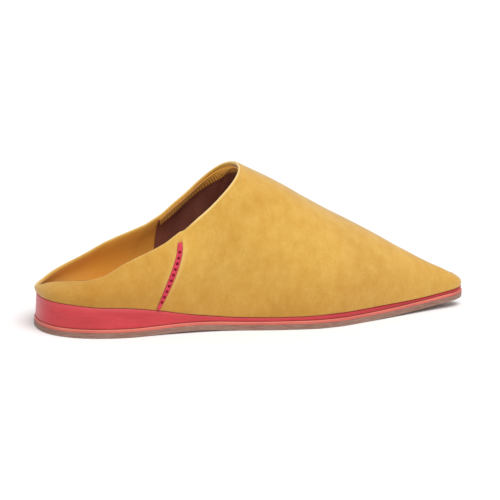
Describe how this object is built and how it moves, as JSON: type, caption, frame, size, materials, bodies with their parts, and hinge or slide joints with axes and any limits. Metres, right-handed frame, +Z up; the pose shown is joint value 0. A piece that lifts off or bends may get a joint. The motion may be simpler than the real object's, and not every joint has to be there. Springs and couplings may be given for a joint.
{
  "type": "babouche slipper",
  "caption": "Left pointed suede slipper on a painted wedge and leather sole, with a soft low quarter, side seams and a small metal charm hanging on its outer side.",
  "frame": {"origin": "on the floor under the middle of the outsole's heel flat, in the shoe's centre plane", "axes": "+X to the toe, +Y to the outer side of the foot, +Z up"},
  "size_m": [0.2705, 0.0762, 0.0937],
  "materials": {
    "outsole": "smooth veg leather, edge painted salmon above a scored line",
    "midsole": "painted red, satin",
    "insole": "tan footbed leather",
    "upper": "mustard suede, brushed nap",
    "seam_strip_inner": "painted red, soft",
    "seam_strip_outer": "painted red, soft",
    "collar_facing": "mustard suede, turned in",
    "charm_stud": "polished",
    "charm_chain": "polished",
    "charm_ring": "polished",
    "charm_link": "polished",
    "charm_arrowhead": "polished"
  },
  "bodies": {
    "shoe": {"outsole": "outsole", "midsole": "midsole", "insole": "insole", "upper": "upper", "seam_strip_inner": "seam_strip_inner", "seam_strip_outer": "seam_strip_outer", "collar_facing": "collar_facing", "charm_stud": "charm_stud"},
    "chain": {"charm_chain": "charm_chain"},
    "pendant": {"charm_ring": "charm_ring", "charm_link": "charm_link", "charm_arrowhead": "charm_arrowhead"}
  },
  "joints": [
    {"name": "chain_swing", "type": "hinge", "parent": "shoe", "child": "chain", "pos_m": [0.06079, 0.03127, 0.05617], "axis": [-0.0996, 0.9756, 0.1957], "range_deg": [-60, 60]},
    {"name": "pendant_swing", "type": "hinge", "parent": "chain", "child": "pendant", "pos_m": [0.06053, 0.03384, 0.04323], "axis": [-0.0996, 0.9756, 0.1957], "range_deg": [-50, 50]}
  ]
}
